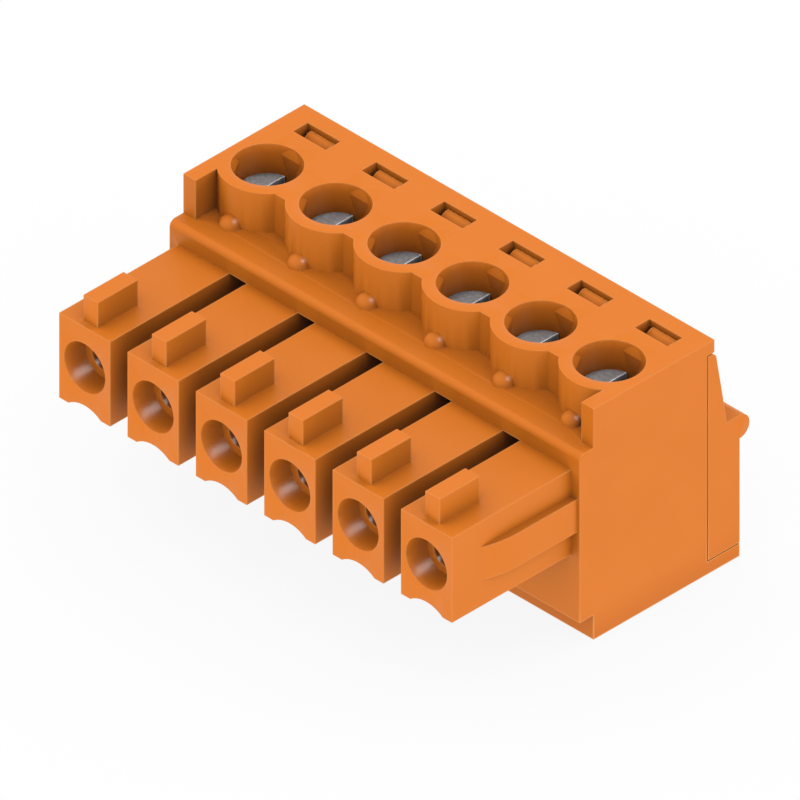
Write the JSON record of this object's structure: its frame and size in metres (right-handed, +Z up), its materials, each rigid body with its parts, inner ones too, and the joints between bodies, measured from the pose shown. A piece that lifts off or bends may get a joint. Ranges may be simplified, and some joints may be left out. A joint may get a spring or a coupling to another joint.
{
  "type": "pluggable terminal block",
  "caption": "Pluggable screw terminal block for a pin header: a moulded housing with one finger a pole, a snapped-on wire cover, slotted clamp screws, lift yokes and spring contacts.",
  "frame": {"origin": "bottom face, middle of the row, under the screw axes", "axes": "+X along the row of poles, -Y the mating side with the fingers, +Y the wire side, +Z up along the clamp screws"},
  "size_m": [0.0228, 0.0161, 0.0111],
  "materials": {
    "moulding": "semi-matt moulded",
    "steel": "zinc plated",
    "tinned": "tin plated copper alloy"
  },
  "bodies": {
    "block": {"housing": "moulding", "wire_cover": "moulding", "contact_1": "tinned", "contact_2": "tinned", "contact_3": "tinned", "contact_4": "tinned", "contact_5": "tinned", "contact_6": "tinned"},
    "screw_1": {"clamp_screw_1": "steel"},
    "yoke_1": {"clamp_yoke_1": "steel"},
    "screw_2": {"clamp_screw_2": "steel"},
    "yoke_2": {"clamp_yoke_2": "steel"},
    "screw_3": {"clamp_screw_3": "steel"},
    "yoke_3": {"clamp_yoke_3": "steel"},
    "screw_4": {"clamp_screw_4": "steel"},
    "yoke_4": {"clamp_yoke_4": "steel"},
    "screw_5": {"clamp_screw_5": "steel"},
    "yoke_5": {"clamp_yoke_5": "steel"},
    "screw_6": {"clamp_screw_6": "steel"},
    "yoke_6": {"clamp_yoke_6": "steel"}
  },
  "joints": [
    {"name": "screw_turn_1", "type": "hinge", "parent": "block", "child": "screw_1", "pos_m": [-0.00953, 0, 0.00984], "axis": [0, 0, -1], "range_deg": [0, 1440]},
    {"name": "yoke_lift_1", "type": "slide", "parent": "block", "child": "yoke_1", "axis": [0, 0, 1], "range_m": [0, 0.0016]},
    {"name": "screw_turn_2", "type": "hinge", "parent": "block", "child": "screw_2", "pos_m": [-0.00571, 0, 0.00984], "axis": [0, 0, -1], "range_deg": [0, 1440]},
    {"name": "yoke_lift_2", "type": "slide", "parent": "block", "child": "yoke_2", "axis": [0, 0, 1], "range_m": [0, 0.0016]},
    {"name": "screw_turn_3", "type": "hinge", "parent": "block", "child": "screw_3", "pos_m": [-0.00191, 0, 0.00984], "axis": [0, 0, -1], "range_deg": [0, 1440]},
    {"name": "yoke_lift_3", "type": "slide", "parent": "block", "child": "yoke_3", "axis": [0, 0, 1], "range_m": [0, 0.0016]},
    {"name": "screw_turn_4", "type": "hinge", "parent": "block", "child": "screw_4", "pos_m": [0.00191, 0, 0.00984], "axis": [0, 0, -1], "range_deg": [0, 1440]},
    {"name": "yoke_lift_4", "type": "slide", "parent": "block", "child": "yoke_4", "axis": [0, 0, 1], "range_m": [0, 0.0016]},
    {"name": "screw_turn_5", "type": "hinge", "parent": "block", "child": "screw_5", "pos_m": [0.00571, 0, 0.00984], "axis": [0, 0, -1], "range_deg": [0, 1440]},
    {"name": "yoke_lift_5", "type": "slide", "parent": "block", "child": "yoke_5", "axis": [0, 0, 1], "range_m": [0, 0.0016]},
    {"name": "screw_turn_6", "type": "hinge", "parent": "block", "child": "screw_6", "pos_m": [0.00953, 0, 0.00984], "axis": [0, 0, -1], "range_deg": [0, 1440]},
    {"name": "yoke_lift_6", "type": "slide", "parent": "block", "child": "yoke_6", "axis": [0, 0, 1], "range_m": [0, 0.0016]}
  ],
  "couplings": [
    {"joint": "screw_turn_1", "follows": "yoke_lift_1", "rad_per_m": 15708},
    {"joint": "screw_turn_2", "follows": "yoke_lift_2", "rad_per_m": 15708},
    {"joint": "screw_turn_3", "follows": "yoke_lift_3", "rad_per_m": 15708},
    {"joint": "screw_turn_4", "follows": "yoke_lift_4", "rad_per_m": 15708},
    {"joint": "screw_turn_5", "follows": "yoke_lift_5", "rad_per_m": 15708},
    {"joint": "screw_turn_6", "follows": "yoke_lift_6", "rad_per_m": 15708}
  ]
}
